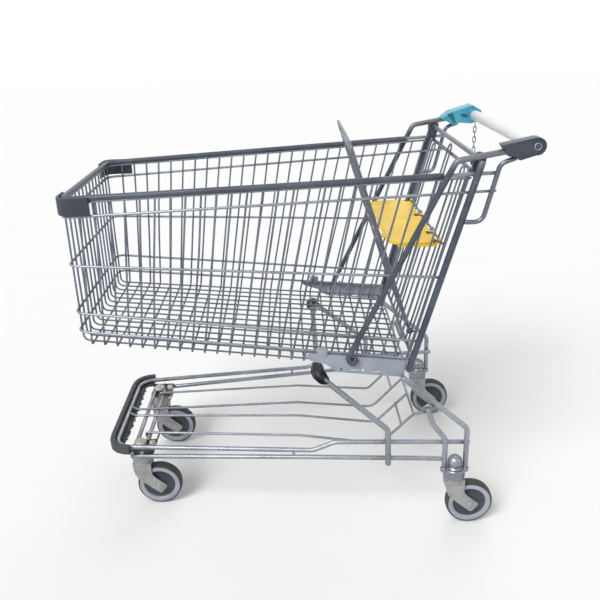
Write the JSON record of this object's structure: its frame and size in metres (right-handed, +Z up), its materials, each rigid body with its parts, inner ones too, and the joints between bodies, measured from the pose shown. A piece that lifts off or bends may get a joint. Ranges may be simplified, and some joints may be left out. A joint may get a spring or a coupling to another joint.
{
  "type": "shopping cart",
  "caption": "Galvanised wire shopping cart with a tapered basket, folding child seat in a swinging rear flap, lower tray, coin lock on the handle and swivel castors.",
  "frame": {"origin": "on the floor, midway along and across the cart", "axes": "+X from the front bumper towards the handle, -Y to the cart's left side, +Z up"},
  "size_m": [1.0948, 0.614, 1.023],
  "materials": {
    "galvanised_steel": "galvanised, dulled and scuffed, brown tinge low at the front",
    "slate_coating": "satin slate coating, worn",
    "slate_plastic": "satin, scuffed",
    "grey_plastic": "satin, lightly soiled",
    "yellow_plastic": "semi-gloss",
    "teal_plastic": "semi-gloss",
    "white_plastic": "semi-gloss, lightly scuffed",
    "black_plastic": "matte",
    "wheel_plastic": "satin",
    "tyre_rubber": "matte, dusty"
  },
  "bodies": {
    "frame": {"side_panel_left": "galvanised_steel", "side_panel_right": "galvanised_steel", "front_panel": "galvanised_steel", "floor_panel": "galvanised_steel", "loop_tube_left": "galvanised_steel", "loop_tube_right": "galvanised_steel", "handle_core": "galvanised_steel", "lock_chain": "galvanised_steel", "hinge_bar": "galvanised_steel", "base_loop": "galvanised_steel", "base_tube_left": "galvanised_steel", "base_tube_right": "galvanised_steel", "front_support": "galvanised_steel", "rear_post_left": "galvanised_steel", "rear_post_right": "galvanised_steel", "rear_brace_left": "galvanised_steel", "rear_brace_right": "galvanised_steel", "castor_housing_rear_left": "galvanised_steel", "castor_housing_rear_right": "galvanised_steel", "castor_plate_front_left": "galvanised_steel", "castor_plate_front_right": "galvanised_steel", "tray_rack": "galvanised_steel", "top_rail": "slate_coating", "corner_post_left": "slate_coating", "corner_post_right": "slate_coating", "handle_tube_left": "slate_coating", "handle_tube_right": "slate_coating", "bumper_left": "slate_plastic", "bumper_right": "slate_plastic", "low_bumper": "slate_plastic", "end_cap": "slate_plastic", "side_plate_left": "grey_plastic", "side_plate_right": "grey_plastic", "coin_lock": "teal_plastic", "handle_grip": "white_plastic", "chain_key": "black_plastic", "bearing_left": "black_plastic", "bearing_right": "black_plastic", "sleeve_left": "black_plastic", "sleeve_right": "black_plastic"},
    "flap": {"rear_flap": "galvanised_steel"},
    "backrest": {"backrest": "galvanised_steel"},
    "seat": {"seat_board": "yellow_plastic"},
    "fork_front_left": {"fork_front_left": "galvanised_steel", "wheel_bolt_front_left": "galvanised_steel"},
    "wheel_front_left": {"wheel_front_left": "wheel_plastic", "tyre_front_left": "tyre_rubber"},
    "fork_front_right": {"fork_front_right": "galvanised_steel", "wheel_bolt_front_right": "galvanised_steel"},
    "wheel_front_right": {"wheel_front_right": "wheel_plastic", "tyre_front_right": "tyre_rubber"},
    "fork_rear_left": {"fork_rear_left": "galvanised_steel", "wheel_bolt_rear_left": "galvanised_steel"},
    "wheel_rear_left": {"wheel_rear_left": "wheel_plastic", "tyre_rear_left": "tyre_rubber"},
    "fork_rear_right": {"fork_rear_right": "galvanised_steel", "wheel_bolt_rear_right": "galvanised_steel"},
    "wheel_rear_right": {"wheel_rear_right": "wheel_plastic", "tyre_rear_right": "tyre_rubber"}
  },
  "joints": [
    {"name": "flap_hinge", "type": "hinge", "parent": "frame", "child": "flap", "pos_m": [0.4094, 0, 0.932], "axis": [0, 1, 0], "range_deg": [0, 75]},
    {"name": "backrest_hinge", "type": "hinge", "parent": "flap", "child": "backrest", "pos_m": [0.28042, 0, 0.53], "axis": [0, 1, 0], "range_deg": [0, 28]},
    {"name": "seat_hinge", "type": "hinge", "parent": "flap", "child": "seat", "pos_m": [0.34869, 0, 0.75952], "axis": [0, 1, 0], "range_deg": [0, 104.1]},
    {"name": "swivel_front_left", "type": "hinge", "parent": "frame", "child": "fork_front_left", "pos_m": [-0.4426, -0.154, 0.1397], "axis": [0, 0, 1], "continuous": true},
    {"name": "spin_front_left", "type": "hinge", "parent": "fork_front_left", "child": "wheel_front_left", "pos_m": [-0.4006, -0.154, 0.06173], "axis": [0, 1, 0], "continuous": true},
    {"name": "swivel_front_right", "type": "hinge", "parent": "frame", "child": "fork_front_right", "pos_m": [-0.4426, 0.154, 0.1397], "axis": [0, 0, 1], "continuous": true},
    {"name": "spin_front_right", "type": "hinge", "parent": "fork_front_right", "child": "wheel_front_right", "pos_m": [-0.4006, 0.154, 0.06173], "axis": [0, 1, 0], "continuous": true},
    {"name": "swivel_rear_left", "type": "hinge", "parent": "frame", "child": "fork_rear_left", "pos_m": [0.3979, -0.279, 0.1397], "axis": [0, 0, 1], "continuous": true},
    {"name": "spin_rear_left", "type": "hinge", "parent": "fork_rear_left", "child": "wheel_rear_left", "pos_m": [0.4399, -0.279, 0.06173], "axis": [0, 1, 0], "continuous": true},
    {"name": "swivel_rear_right", "type": "hinge", "parent": "frame", "child": "fork_rear_right", "pos_m": [0.3979, 0.279, 0.1397], "axis": [0, 0, 1], "continuous": true},
    {"name": "spin_rear_right", "type": "hinge", "parent": "fork_rear_right", "child": "wheel_rear_right", "pos_m": [0.4399, 0.279, 0.06173], "axis": [0, 1, 0], "continuous": true}
  ],
  "couplings": [
    {"joint": "seat_hinge", "follows": "backrest_hinge", "ratio": 3.7143}
  ]
}
